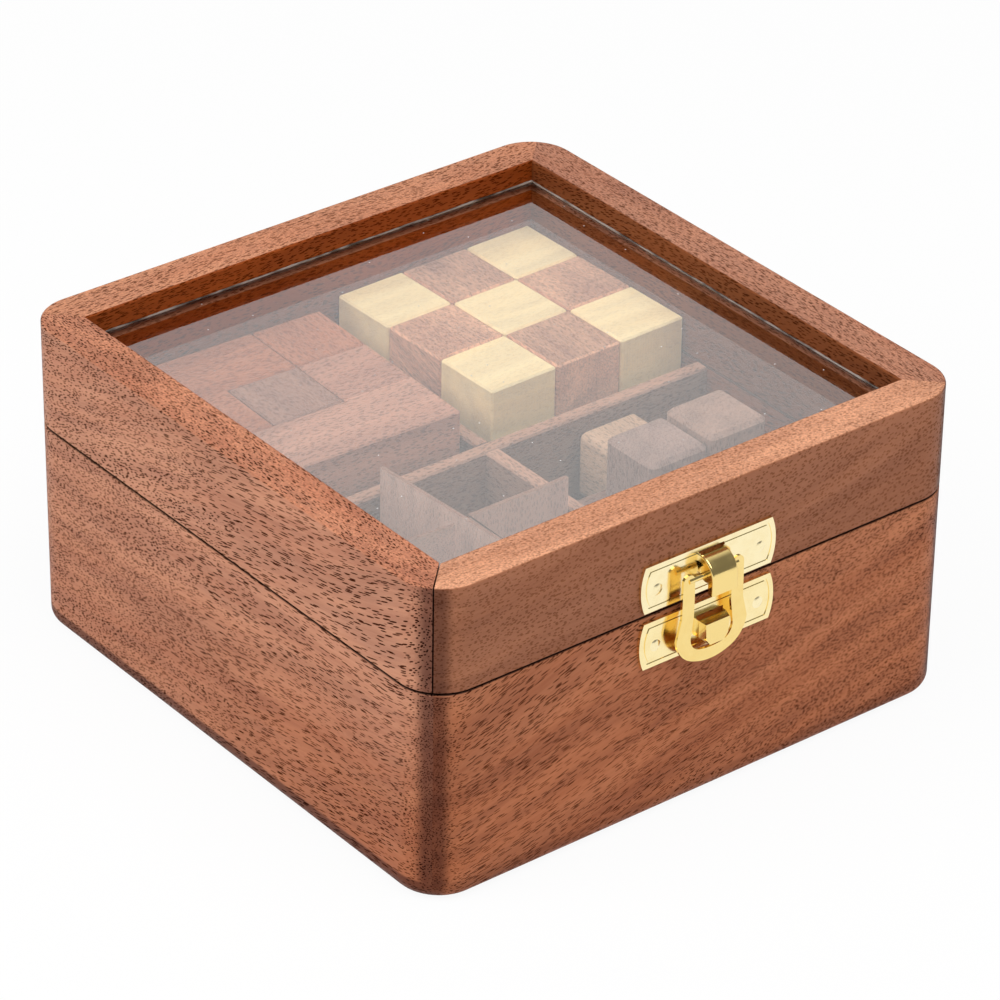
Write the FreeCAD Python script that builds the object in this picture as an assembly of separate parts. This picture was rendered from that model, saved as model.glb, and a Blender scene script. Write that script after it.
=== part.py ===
"""Glass-lidded wooden box that stores four small wooden puzzles.

Millimetres, +Z up. The origin is the centre of the underside. The latch is on the -Y face,
the hinges are on the +Y face. Each function below makes one piece, or one family of pieces.
"""
import FreeCAD, Part
import math
import os

V = FreeCAD.Vector
TINY = 1e-4
cut_margin = 1.0

# Box: overall sizes and board sizes
box_width = 130.0
box_depth = 132.5
box_height = 69.0
wall_thickness = 9.2
seam_height = 46.0
seam_gap = 0.25
corner_radius = 9.6
foot_round = 3.0
rim_round = 0.5
arris = 0.3
mitre_crack = 0.3

# Floor panel in a rabbet, flush with the underside, and glass in a groove
floor_thickness = 4.5
groove_depth = 3.0
groove_clearance = 0.2
glass_thickness = 2.0
glass_drop = 5.0
glass_bead = 0.5

# Dividers
divider_thickness = 3.4
divider_drop = 0.1
divider_bevel = 0.4
divider_x = 0.6
divider_y = 1.0

# Back hinges
hinge_spacing = 72.0
hinge_length = 22.0
leaf_thickness = 0.8
leaf_width = 7.0
knuckle_radius = 1.7
knuckle_stand = 1.1
knuckle_gap = 0.15
hinge_pin_radius = 0.8
running_clearance = 0.05
swing_clearance = 0.3
mortise_clearance = 0.1
hinge_screw_radius = 0.7
hinge_screw_head = 1.4
hinge_screw_length = 6.0
hinge_screw_spacing = 13.0

# Latch on the front
plate_width = 31.0
plate_height = 10.1
plate_bulge = 1.0
plate_thickness = 0.7
upper_plate_rise = 1.0
lower_plate_drop = 1.05
latch_x = 0.2
bead_inset = 0.95
bead_width = 0.4
bead_depth = 0.15
tongue_shift = 0.6
hood_width = 6.2
hood_reach = 4.3
hood_thickness = 1.5
hood_edge_round = 0.4
hood_foot = 1.15
hood_centre_rise = 4.15
lance_slot = 0.7
eye_wall = 1.1
eye_rise = 5.05
bail_pin_radius = 0.6
bail_pin_reach = 2.6
bail_thickness = 0.6
bail_side_gap = 1.45
bail_shift = -1.3
bail_out = 2.7
bail_cap_radius = 1.4
bail_cap_offset = 1.45
bail_waist_bulge = 0.1
bail_shoulder_drop = 3.4
bail_neck_drop = 7.9
bail_wide_drop = 12.6
bail_opening_flare = 0.6
bail_opening_power = 0.75
bail_outer_flare = 4.1
bail_bar_depth = 2.65
knob_half_width = 3.3
knob_nose_half_width = 2.9
knob_nose_waist = 2.7
knob_foot_half_width = 1.7
knob_wall = 0.9
knob_reach = 2.5
knob_top_rise = 6.6
knob_nose_rise = 6.3
knob_waist_rise = 2.85
knob_foot_rise = 1.5
bar_clearance = 0.5
brad_spacing = 25.2
brad_drop = 0.5
brad_head_radius = 1.25
brad_head_height = 0.3
brad_radius = 0.6
brad_length = 5.5
brad_clearance = 0.03

# Puzzles: room that they leave in a compartment, and their own sizes
puzzle_room = 3.7
lift_headroom = 7.7
soma_gap = 0.3
soma_bevel = 0.35
soma_turn = -2.2
soma_shift = (1.15, 0.1)
snake_growth = 0.45
snake_gap = 0.25
snake_bevel = 0.4
snake_turn = 1.0
snake_shift = (1.0, 1.4)
cord_radius = 0.9
cord_sides = 8
cord_hole_radius = 1.4
burr_shrink = 0.8
burr_unit_share = 6.53
burr_gap = 0.4
burr_round = 1.7
burr_end_bevel = 0.9
burr_key_lift = 1.2
burr_shift = (-0.95, 1.9)
tangram_shrink = 1.0
tangram_thickness = 0.9
tangram_gap = 0.3
tangram_side_gap = 0.6
tangram_back_gap = 1.3
tangram_turn = 3.0
tangram_square_turn = 5.0
tangram_square_shift = 0.6

# Sizes worked out from the ones above
half_width = box_width / 2
half_depth = box_depth / 2
inner_x = half_width - wall_thickness
inner_y = half_depth - wall_thickness
lid_low = seam_height + seam_gap
floor_top = floor_thickness
divider_top = seam_height - divider_drop
glass_top = box_height - glass_drop
glass_low = glass_top - glass_thickness
front_y = -half_depth
upper_plate_low = lid_low + upper_plate_rise
lower_plate_low = seam_height - lower_plate_drop - plate_height
hinge_axis_y = half_depth + knuckle_stand
hinge_axis_z = seam_height + seam_gap / 2


def block(x_range, y_range, z_range):
    """Rectangular block between the given limits."""
    low = V(x_range[0], y_range[0], z_range[0])
    return Part.makeBox(x_range[1] - x_range[0], y_range[1] - y_range[0], z_range[1] - z_range[0], low)


def save(name, *shapes):
    """Write one node, made of one or more separate solids."""
    shape = shapes[0] if len(shapes) == 1 else Part.makeCompound(list(shapes))
    shape.exportStep("parts/" + name + ".step")


def level_edges(shape, z):
    """Edges that lie in the horizontal plane at height z."""
    return [e for e in shape.Edges if all(abs(v.Z - z) < TINY for v in e.Vertexes)]


def rounded_block(z_low, z_high):
    """Full outer form of the box between two heights, with its upright edges rounded."""
    body = block((-half_width, half_width), (-half_depth, half_depth), (z_low, z_high))
    upright = [e for e in body.Edges if abs(e.Vertexes[0].Z - e.Vertexes[1].Z) > TINY]
    return body.makeFillet(corner_radius, upright)


def polygon_prism(points, z_low, z_high):
    """Upright prism on a polygon given in plan."""
    wire = Part.makePolygon([V(x, y, z_low) for x, y in points + points[:1]])
    return Part.Face(wire).extrude(V(0, 0, z_high - z_low))


def mitred_plan(side):
    """Plan of one wall: the outer edge, then the inner edge between two 45 degree mitres."""
    outer = [(-half_width, -half_depth), (half_width, -half_depth),
             (half_width, half_depth), (-half_width, half_depth)]
    inner = [(-inner_x, -inner_y), (inner_x, -inner_y), (inner_x, inner_y), (-inner_x, inner_y)]
    start = ["front", "right", "back", "left"].index(side)
    end = (start + 1) % 4
    return [outer[start], outer[end], inner[end], inner[start]]


def groove_ring(z_low, z_high):
    """Slab that cuts a groove or rabbet of groove_depth into all four inner faces."""
    reach_x = inner_x + groove_depth
    reach_y = inner_y + groove_depth
    return block((-reach_x, reach_x), (-reach_y, reach_y), (z_low, z_high))


def panel(z_low, z_high):
    """Panel whose edges sit in such a groove or rabbet."""
    reach_x = inner_x + groove_depth - groove_clearance
    reach_y = inner_y + groove_depth - groove_clearance
    return block((-reach_x, reach_x), (-reach_y, reach_y), (z_low, z_high))


def rim_bevel():
    """Frustum that takes the sharp edge off the lid's inner rim."""
    low = [(-inner_x, -inner_y), (inner_x, -inner_y), (inner_x, inner_y), (-inner_x, inner_y)]

    def ring(grow, z):
        corners = [V(x + math.copysign(grow, x), y + math.copysign(grow, y), z) for x, y in low]
        return Part.makePolygon(corners + corners[:1])

    return Part.makeLoft([ring(0, box_height - arris), ring(2 * arris, box_height + arris)], True, True)


def hinge_centres():
    return (-hinge_spacing / 2, hinge_spacing / 2)


def knuckle_channel(x):
    """Clearance round one hinge's barrel and mortise for its two leaves."""
    half = hinge_length / 2 + mortise_clearance
    barrel = Part.makeCylinder(knuckle_radius + swing_clearance, 2 * half,
                               V(x - half, hinge_axis_y, hinge_axis_z), V(1, 0, 0))
    low = seam_height - leaf_thickness
    high = lid_low + leaf_thickness
    back = half_depth - leaf_width - mortise_clearance
    return barrel.fuse(block((x - half, x + half), (back, hinge_axis_y), (low, high)))


def brad_places(z_low):
    """Centres of one latch plate's brads, on the front face."""
    z = z_low + plate_height / 2 - brad_drop
    return [(latch_x - brad_spacing / 2, z), (latch_x + brad_spacing / 2, z)]


def brad_hole(x, z):
    """Hole for one brad, from in front of its plate down into the wood."""
    start = V(x, front_y - plate_thickness - cut_margin, z)
    return Part.makeCylinder(brad_radius + brad_clearance, brad_length + cut_margin, start, V(0, 1, 0))


def hinge_screw_places():
    """Centres of the hinge screws in plan, two in each leaf."""
    y = half_depth - leaf_width / 2
    return [(x + s * hinge_screw_spacing / 2, y) for x in hinge_centres() for s in (-1, 1)]


def screw_holes(z_start, direction):
    """Pilot holes for the hinge screws in the wood."""
    return [Part.makeCylinder(hinge_screw_radius + brad_clearance, hinge_screw_length + leaf_thickness,
                              V(x, y, z_start), V(0, 0, direction)) for x, y in hinge_screw_places()]


def wall_boards(prefix, outer, names, cuts):
    """Cut one storey of the box into its four mitred boards."""
    z_low = outer.BoundBox.ZMin - cut_margin
    z_high = outer.BoundBox.ZMax + cut_margin
    for side in ("front", "right", "back", "left"):
        board = outer.common(polygon_prism(mitred_plan(side), z_low, z_high))
        for tool in cuts.get("all", []) + cuts.get(side, []):
            board = board.cut(tool)
        save(prefix + side + names, board)


def base_boards():
    outer = rounded_block(0, seam_height)
    outer = outer.makeFillet(foot_round, level_edges(outer, 0))
    outer = outer.makeChamfer(arris, level_edges(outer, seam_height))
    holes = [brad_hole(x, z) for x, z in brad_places(lower_plate_low)]
    cuts = {"all": [groove_ring(-cut_margin, floor_top)],
            "front": holes,
            "back": [knuckle_channel(x) for x in hinge_centres()] + screw_holes(seam_height, -1)}
    wall_boards("base_", outer, "_wall", cuts)


def open_mitre():
    """Sliver taken off the left rail's front mitre, where the glue line has opened."""
    shift = mitre_crack * math.sqrt(2)
    outside = (-half_width - cut_margin, front_y - cut_margin)
    inside = (-inner_x + cut_margin, -inner_y + cut_margin)
    points = [outside, inside, (inside[0], inside[1] + shift), (outside[0], outside[1] + shift)]
    return polygon_prism(points, lid_low - cut_margin, box_height + cut_margin)


def lid_rails():
    outer = rounded_block(lid_low, box_height)
    outer = outer.makeFillet(rim_round, level_edges(outer, box_height))
    outer = outer.makeChamfer(arris, level_edges(outer, lid_low))
    holes = [brad_hole(x, z) for x, z in brad_places(upper_plate_low)]
    cuts = {"all": [groove_ring(glass_low, glass_top + glass_bead), rim_bevel()],
            "front": holes,
            "left": [open_mitre()],
            "back": [knuckle_channel(x) for x in hinge_centres()] + screw_holes(lid_low, 1)}
    wall_boards("lid_", outer, "_rail", cuts)


def divider(x_range, y_range):
    """One upright partition board with its two long top edges eased."""
    board = block(x_range, y_range, (floor_top, divider_top))
    span = max(x_range[1] - x_range[0], y_range[1] - y_range[0])
    long_top_edges = [e for e in level_edges(board, divider_top) if abs(e.Length - span) < TINY]
    return board.makeChamfer(divider_bevel, long_top_edges)


def dividers():
    half = divider_thickness / 2
    back_face = divider_y + half
    front_face = divider_y - half
    cross = (divider_x - half, divider_x + half)
    save("long_divider", divider((-inner_x, inner_x), (front_face, back_face)))
    save("back_short_divider", divider(cross, (back_face, inner_y)))
    save("front_short_divider", divider(cross, (-inner_y, front_face)))


def hinge_barrel(x_low, x_high):
    start = V(x_low, hinge_axis_y, hinge_axis_z)
    return Part.makeCylinder(knuckle_radius, x_high - x_low, start, V(1, 0, 0))


def hinge_leaf(x, knuckles, others, z_low, z_high, sink):
    """One leaf with its knuckles. The barrel of the other leaf turns free in the gaps."""
    half = hinge_length / 2
    leaf = block((x - half, x + half), (half_depth - leaf_width, hinge_axis_y), (z_low, z_high))
    for low, high in others:
        notch = (hinge_axis_y - knuckle_radius - knuckle_gap, hinge_axis_y + cut_margin)
        leaf = leaf.cut(block((low - knuckle_gap, high + knuckle_gap), notch, (z_low, z_high)))
    for low, high in knuckles:
        leaf = leaf.fuse(hinge_barrel(low, high))
    bore = Part.makeCylinder(hinge_pin_radius + running_clearance, hinge_length,
                             V(x - half, hinge_axis_y, hinge_axis_z), V(1, 0, 0))
    leaf = leaf.cut(bore)
    for hole in sink:
        leaf = leaf.cut(hole)
    return leaf.removeSplitter()


def hinge_screw(x, y, z_face, direction, grow=0.0):
    """Countersunk screw, its head flush with the leaf's face at z_face. Grown, it is the hole."""
    into = V(0, 0, direction)
    face = V(x, y, z_face)
    head = Part.makeCone(hinge_screw_head + grow, hinge_screw_radius + grow, leaf_thickness, face, into)
    shank = Part.makeCylinder(hinge_screw_radius + grow, hinge_screw_length, face, into)
    return head.fuse(shank).removeSplitter()


def hinges():
    third = hinge_length / 3
    for name, x in zip(("left", "right"), hinge_centres()):
        low = x - hinge_length / 2
        spans = [(low + i * third, low + (i + 1) * third) for i in range(3)]
        outside = [(spans[0][0], spans[0][1] - knuckle_gap), (spans[2][0] + knuckle_gap, spans[2][1])]
        middle = [spans[1]]
        below = [hinge_screw(sx, sy, seam_height, -1, brad_clearance) for sx, sy in hinge_screw_places()]
        above = [hinge_screw(sx, sy, lid_low, 1, brad_clearance) for sx, sy in hinge_screw_places()]
        base_z = (seam_height - leaf_thickness, seam_height)
        lid_z = (lid_low, lid_low + leaf_thickness)
        save(name + "_hinge_base_leaf", hinge_leaf(x, outside, middle, *base_z, below))
        save(name + "_hinge_lid_leaf", hinge_leaf(x, middle, outside, *lid_z, above))
        start = V(low, hinge_axis_y, hinge_axis_z)
        save(name + "_hinge_pin", Part.makeCylinder(hinge_pin_radius, hinge_length, start, V(1, 0, 0)))
    save("base_hinge_screws", *[hinge_screw(x, y, seam_height, -1) for x, y in hinge_screw_places()])
    save("lid_hinge_screws", *[hinge_screw(x, y, lid_low, 1) for x, y in hinge_screw_places()])


def front_point(x, out, z):
    """Point at distance out in front of the box's front face."""
    return V(x, front_y - out, z)


def plate_outline(z_low, inset, out):
    """Latch plate's outline with arched ends, drawn inset from its edge."""
    half = plate_width / 2 - inset
    low = z_low + inset
    high = z_low + plate_height - inset
    middle = (low + high) / 2
    right = Part.Arc(front_point(latch_x + half, out, low),
                     front_point(latch_x + half + plate_bulge, out, middle),
                     front_point(latch_x + half, out, high))
    left = Part.Arc(front_point(latch_x - half, out, high),
                    front_point(latch_x - half - plate_bulge, out, middle),
                    front_point(latch_x - half, out, low))
    bottom = Part.LineSegment(left.EndPoint, right.StartPoint)
    top = Part.LineSegment(right.EndPoint, left.StartPoint)
    return Part.Face(Part.Wire([bottom.toShape(), right.toShape(), top.toShape(), left.toShape()]))


def latch_plate(z_low):
    """Stamped plate with a pressed line near its edge and two brad holes."""
    plate = plate_outline(z_low, 0, 0).extrude(V(0, -plate_thickness, 0))
    floor = plate_thickness - bead_depth
    ring = plate_outline(z_low, bead_inset, floor).extrude(V(0, -cut_margin, 0))
    ring = ring.cut(plate_outline(z_low, bead_inset + bead_width, floor).extrude(V(0, -cut_margin, 0)))
    plate = plate.cut(ring)
    for x, z in brad_places(z_low):
        plate = plate.cut(brad_hole(x, z))
    return plate


hood_axis_z = upper_plate_low + hood_centre_rise
eye_z = upper_plate_low + eye_rise
tongue_x = latch_x + tongue_shift


def lance(z_low, half):
    """Slot left in a plate where a tongue was pressed out of it."""
    depth = (front_y - plate_thickness - cut_margin, front_y + cut_margin)
    return block((tongue_x - half, tongue_x + half), depth, (z_low, z_low + lance_slot))


def hood():
    """Strip that rolls out of the upper plate and down over the eye that holds the bail's pins."""
    x = tongue_x - hood_width / 2
    outer = hood_reach
    inner = hood_reach - hood_thickness
    half_turn = math.sqrt(0.5)

    def at(out, z):
        return front_point(x, plate_thickness + out, z)

    foot = upper_plate_low + hood_foot
    roll = Part.Arc(at(0, hood_axis_z + outer), at(outer * half_turn, hood_axis_z + outer * half_turn),
                    at(outer, hood_axis_z))
    under = Part.Arc(at(inner, hood_axis_z), at(inner * half_turn, hood_axis_z + inner * half_turn),
                     at(0, hood_axis_z + inner))
    lines = [roll, Part.LineSegment(roll.EndPoint, at(outer, foot)),
             Part.LineSegment(at(outer, foot), at(inner, foot)),
             Part.LineSegment(at(inner, foot), under.StartPoint), under,
             Part.LineSegment(under.EndPoint, roll.StartPoint)]
    strip = Part.Face(Part.Wire([g.toShape() for g in lines])).extrude(V(hood_width, 0, 0))
    ends = [e for e in strip.Edges if e.Curve.TypeId == "Part::GeomCircle" and e.Curve.Radius > inner + TINY]
    strip = strip.makeFillet(hood_edge_round, ends)
    pivot = front_point(x, bail_out, eye_z)
    eye = Part.makeCylinder(bail_pin_radius + eye_wall, hood_width, pivot, V(1, 0, 0))
    bore = Part.makeCylinder(bail_pin_radius + running_clearance, hood_width, pivot, V(1, 0, 0))
    return strip.fuse(eye).cut(bore)


def latch_upper_plate():
    plate = latch_plate(upper_plate_low)
    slot = lance(hood_axis_z + hood_reach, hood_width / 2)
    save("latch_upper_plate", plate.cut(slot).fuse(hood()).removeSplitter())


knob_top = lower_plate_low + knob_top_rise
knob_foot = lower_plate_low + knob_foot_rise


def knob():
    """Catch pressed out of the lower plate: upright walls, then facets that draw in to a flat nose."""
    nose_top = lower_plate_low + knob_nose_rise
    waist = lower_plate_low + knob_waist_rise

    def ring(out, half, top, waist_half):
        right = [(half, top), (waist_half, waist), (knob_foot_half_width, knob_foot)]
        outline = right + [(-x, z) for x, z in reversed(right)]
        points = [front_point(tongue_x + x, out, z) for x, z in outline]
        return Part.makePolygon(points + points[:1])

    root = ring(plate_thickness, knob_half_width, knob_top, knob_half_width)
    brow = ring(plate_thickness + knob_wall, knob_half_width, knob_top, knob_half_width)
    nose = ring(plate_thickness + knob_reach, knob_nose_half_width, nose_top, knob_nose_waist)
    return Part.makeLoft([root, brow, nose], True, True)


def latch_lower_plate():
    plate = latch_plate(lower_plate_low)
    slot = lance(knob_top, knob_half_width)
    save("latch_lower_plate", plate.cut(slot).fuse(knob()).removeSplitter())


def oval_point(half, top, bottom, power, degrees):
    """Point on the lower half of an oval, counted from its right end round below to its left end.

    A power of 1 makes it an ellipse, a lower one makes it squarer."""
    across = math.cos(math.radians(degrees))
    down = math.sin(math.radians(degrees))
    return math.copysign(half * abs(across) ** power, across), top + (bottom - top) * down ** power


def bail_loop():
    """Outline of the bail in (x, drop) from its pivot: two necked arms and a rounded bar."""
    neck = hood_width / 2 + bail_side_gap
    cap = neck + bail_cap_offset
    bar_top = eye_z - knob_foot + bar_clearance
    opening = (neck + bail_opening_flare, bail_wide_drop, bar_top, bail_opening_power)
    outside = (neck + bail_outer_flare, bail_wide_drop, bar_top + bail_bar_depth, 1)
    waist = cap + bail_cap_radius + bail_waist_bulge

    def at(x, drop):
        return V(x, -bail_thickness / 2, -drop)

    def arc(*points):
        return Part.Arc(*[at(*p) for p in points]).toShape()

    def run(*points):
        return [Part.LineSegment(at(*p), at(*q)).toShape() for p, q in zip(points, points[1:])]

    edges = []
    for side in (1, -1):
        edges.append(arc((side * (cap + bail_cap_radius), 0), (side * cap, -bail_cap_radius),
                         (side * (cap - bail_cap_radius), 0)))
        edges += run((side * (cap - bail_cap_radius), 0), (side * neck, bail_shoulder_drop),
                     (side * neck, bail_neck_drop), (side * opening[0], bail_wide_drop))
        edges += run((side * (cap + bail_cap_radius), 0), (side * waist, bail_neck_drop),
                     (side * outside[0], bail_wide_drop))
    for oval in (opening, outside):
        for start in (0, 60, 120):
            edges.append(arc(*[oval_point(*oval, start + turn) for turn in (0, 30, 60)]))
    loop = Part.Face(Part.Wire(Part.__sortEdges__(edges))).extrude(V(0, bail_thickness, 0))
    for side in (1, -1):
        reach = cap - hood_width / 2 + bail_pin_reach
        pin = Part.makeCylinder(bail_pin_radius, reach, V(side * cap, 0, 0), V(-side, 0, 0))
        loop = loop.fuse(pin)
    return loop.removeSplitter()


def latch_bail():
    """The bail hanging straight down from its pivot round the knob, with some side play used up."""
    loop = bail_loop()
    loop.translate(front_point(tongue_x + bail_shift, bail_out, eye_z))
    save("latch_bail", loop)


def brad(x, z):
    """Round-headed brad through a latch plate into the wood."""
    face = front_y - plate_thickness
    shank = Part.makeCylinder(brad_radius, brad_length, V(x, face, z), V(0, 1, 0))
    lift = brad_head_height
    sag = brad_head_radius * math.sqrt(0.5)
    crown_radius = (brad_head_radius ** 2 + lift ** 2) / (2 * lift)
    middle = V(x + sag, face - (math.sqrt(crown_radius ** 2 - sag ** 2) - crown_radius + lift), z)
    crown = Part.Arc(V(x + brad_head_radius, face, z), middle, V(x, face - lift, z))
    axis = Part.LineSegment(V(x, face - lift, z), V(x, face, z))
    foot = Part.LineSegment(V(x, face, z), V(x + brad_head_radius, face, z))
    outline = Part.Face(Part.Wire([crown.toShape(), axis.toShape(), foot.toShape()]))
    head = outline.revolve(V(x, face, z), V(0, 1, 0), 360)
    return head.fuse(shank).removeSplitter()


def latch_brads():
    save("latch_lid_brads", *[brad(x, z) for x, z in brad_places(upper_plate_low)])
    save("latch_base_brads", *[brad(x, z) for x, z in brad_places(lower_plate_low)])


# Compartments, each as its limits in X and Y
left_room = (-inner_x, divider_x - divider_thickness / 2)
right_room = (divider_x + divider_thickness / 2, inner_x)
front_room = (-inner_y, divider_y - divider_thickness / 2)
back_room = (divider_y + divider_thickness / 2, inner_y)
room_least = min(hi - lo for lo, hi in (left_room, right_room, front_room, back_room))
puzzle_size = min(room_least - puzzle_room, glass_low - floor_top - lift_headroom)


def room_centre(x_room, y_room, shift=(0, 0)):
    return V(sum(x_room) / 2 + shift[0], sum(y_room) / 2 + shift[1], floor_top)


# Soma cube: three layers from the top down, rows from back to front, one letter per piece
soma_layers = (("AAT", "AZL", "LLL"), ("PTT", "AZZ", "VVB"), ("PPT", "PBZ", "VBB"))
soma_names = {"V": "corner", "L": "ell", "T": "tee", "Z": "zed",
              "A": "left_twist", "B": "right_twist", "P": "tripod"}


def soma_cells(letter):
    """Grid cells of one piece, counted from the left, the front and the floor."""
    cells = []
    for level, layer in enumerate(soma_layers):
        for row, line in enumerate(layer):
            cells += [(column, 2 - row, 2 - level) for column, mark in enumerate(line) if mark == letter]
    return cells


def soma_piece(cells, pitch):
    """Each two neighbouring cells as one bevelled block, joined, with a gap to all other pieces."""
    half = soma_gap / 2
    pairs = [(a, b) for a in cells for b in cells if a < b and sum(abs(p - q) for p, q in zip(a, b)) == 1]
    solid = None
    for a, b in pairs:
        double = block(*[(p * pitch + half, (q + 1) * pitch - half) for p, q in zip(a, b)])
        double = double.makeChamfer(soma_bevel, double.Edges)
        solid = double if solid is None else solid.fuse(double)
    return solid.removeSplitter()


def soma_cube():
    pitch = puzzle_size / 3
    centre = room_centre(left_room, back_room, soma_shift)
    for letter, word in soma_names.items():
        piece = soma_piece(soma_cells(letter), pitch)
        piece.translate(V(-1.5 * pitch, -1.5 * pitch, -soma_gap / 2))
        piece.rotate(V(0, 0, 0), V(0, 0, 1), soma_turn)
        piece.translate(centre)
        save("soma_" + word + "_piece", piece)


def snake_path():
    """Order in which the cord runs through the cubes: to and fro along rows, rows and layers."""
    path = []
    for level in range(3):
        rows = range(3) if level % 2 == 0 else range(2, -1, -1)
        for row in rows:
            forward = (row + level) % 2 == 0
            path += [(column, row, level) for column in (range(3) if forward else range(2, -1, -1))]
    return path


def snake_block(middle, side, ways):
    """One cube with bevelled edges, drilled for the cord: right through, or from two faces to a bend."""
    cube = Part.makeBox(side, side, side, middle - V(side / 2, side / 2, side / 2))
    cube = cube.makeChamfer(snake_bevel, cube.Edges)
    start = middle - ways[0] * (side if len(ways) == 2 and ways[0] == -ways[1] else cord_hole_radius)
    cube = cube.cut(Part.makeCylinder(cord_hole_radius, 2 * side, start, ways[0]))
    if len(ways) == 2 and ways[0] != -ways[1]:
        cube = cube.cut(Part.makeCylinder(cord_hole_radius, side, middle, ways[1]))
    return cube


def snake_cord(middles):
    """Elastic cord through all cubes, a straight run between each two places where it turns."""
    turns = [here for before, here, after in zip(middles, middles[1:], middles[2:])
             if (here - before).distanceToPoint(after - here) > TINY]
    route = Part.makePolygon(middles[:1] + turns + middles[-1:])
    round_trip = [2 * math.pi * side / cord_sides for side in range(cord_sides + 1)]
    profile = Part.makePolygon([middles[0] + V(0, cord_radius * math.cos(a), cord_radius * math.sin(a))
                                for a in round_trip])
    mitred_corners = 1
    return route.makePipeShell([profile], True, False, mitred_corners)


def turned(shape, centre, degrees):
    shape.rotate(centre, V(0, 0, 1), degrees)
    return shape


def snake_cube():
    pitch = (puzzle_size + snake_growth) / 3
    centre = room_centre(right_room, back_room, snake_shift)
    corner = centre - V(1.5 * pitch, 1.5 * pitch, snake_gap / 2)
    path = snake_path()
    middles = [corner + V(*[(c + 0.5) * pitch for c in cell]) for cell in path]
    steps = [(b - a).normalize() for a, b in zip(middles, middles[1:])]
    cubes = {}
    for index, cell in enumerate(path):
        ways = [-step for step in steps[max(index - 1, 0):index]] + steps[index:index + 1]
        tone = "light" if sum(cell) % 2 == 0 else "dark"
        layer = ("bottom", "middle", "top")[cell[2]]
        group = cubes.setdefault("snake_" + tone + "_cubes_" + layer, [])
        group.append(snake_block(middles[index], pitch - snake_gap, ways))
    for name, group in cubes.items():
        save(name, *[turned(shape, centre, snake_turn) for shape in group])
    save("snake_elastic_cord", turned(snake_cord(middles), centre, snake_turn))


burr_length = puzzle_size - burr_shrink
burr_unit = burr_length / burr_unit_share

# Burr: where each stick runs, in half stick widths from the puzzle's centre, and what is cut out of
# it. The key is whole and goes in last.
burr_sticks = {
    "burr_left_upright": ("Z", (-2, -1), [
        ((-2, -1), (0, 1), (0, 1)), ((-1, 0), (0, 1), (-2, 2)),
        ((-1, 0), (-1, 0), (-2, -1)), ((-1, 0), (-1, 0), (1, 2))]),
    "burr_key_upright": ("Z", (0, -1), []),
    "burr_front_crosswise": ("X", (-2, -1), [
        ((-2, 2), (-1, 0), (-1, 1)), ((0, 1), (-2, -1), (-1, 0))]),
    "burr_back_crosswise": ("X", (0, -1), [
        ((0, 2), (0, 1), (-1, 1)), ((-2, -1), (0, 1), (-1, 0))]),
    "burr_lower_lengthwise": ("Y", (-1, -2), [
        ((-1, 0), (-2, 2), (-1, 0)), ((0, 1), (-1, 1), (-2, 0)), ((0, 1), (1, 2), (-1, 0))]),
    "burr_upper_lengthwise": ("Y", (-1, 0), [
        ((-1, 1), (-2, 2), (0, 1)), ((0, 1), (-1, 1), (1, 2))])}


def burr_stick(run, corner, notches):
    """Round-edged square stick along one axis, less its notches."""
    half = burr_gap / 2
    along = (-burr_length / 2, burr_length / 2)
    first, second = [(c * burr_unit + half, (c + 2) * burr_unit - half) for c in corner]
    spans = {"X": (along, first, second), "Y": (first, along, second), "Z": (first, second, along)}[run]
    stick = block(*spans)
    long_edges = [e for e in stick.Edges if abs(e.Length - burr_length) < TINY]
    stick = stick.makeFillet(burr_round, long_edges)
    axis = "XYZ".index(run)
    end_edges = [e for e in stick.Edges if abs(abs(e.CenterOfMass[axis]) - burr_length / 2) < TINY]
    stick = stick.makeChamfer(burr_end_bevel, end_edges)
    for notch in notches:
        stick = stick.cut(block(*[(lo * burr_unit - half, hi * burr_unit + half) for lo, hi in notch]))
    return stick


def burr():
    centre = room_centre(right_room, front_room, burr_shift) + V(0, 0, burr_length / 2)
    for name, (run, corner, notches) in burr_sticks.items():
        stick = burr_stick(run, corner, notches)
        lift = burr_key_lift if not notches else 0
        stick.translate(centre + V(0, 0, lift))
        save(name, stick)


# Tangram: seven thin plates on edge, the two large triangles across the middle of their room
tangram_leg = puzzle_size - tangram_shrink
tangram_half = tangram_leg / 2
tangram_sheet_x = left_room[1] - tangram_half - tangram_side_gap - tangram_thickness / 2
tangram_sheet_y = front_room[1] - tangram_back_gap - tangram_half


def standing_plate(points):
    """Plate cut to a polygon of (run, height), eased off its neighbours, standing in the XZ plane."""
    wire = Part.makePolygon([V(run, 0, height) for run, height in points + points[:1]])
    face = Part.Face(wire).makeOffset2D(-tangram_gap / 2, join=2)
    plate = face.extrude(V(0, tangram_thickness, 0))
    plate.translate(V(0, -tangram_thickness / 2, -tangram_gap / 2))
    return plate


def tangram_large_triangles():
    """Upper one with its square corner at the top and the back, lower one fills the square below it."""
    full = tangram_leg
    shapes = {"tangram_large_triangle_upper": [(0, full), (full, full), (0, 0)],
              "tangram_large_triangle_lower": [(full, 0), (0, 0), (full, full)]}
    for name, points in shapes.items():
        plate = standing_plate(points)
        plate.translate(V(-tangram_half, 0, 0))
        plate.rotate(V(0, 0, 0), V(0, 0, 1), -90 + tangram_turn)
        plate.translate(V(tangram_sheet_x, tangram_sheet_y, floor_top))
        save(name, plate)


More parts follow.
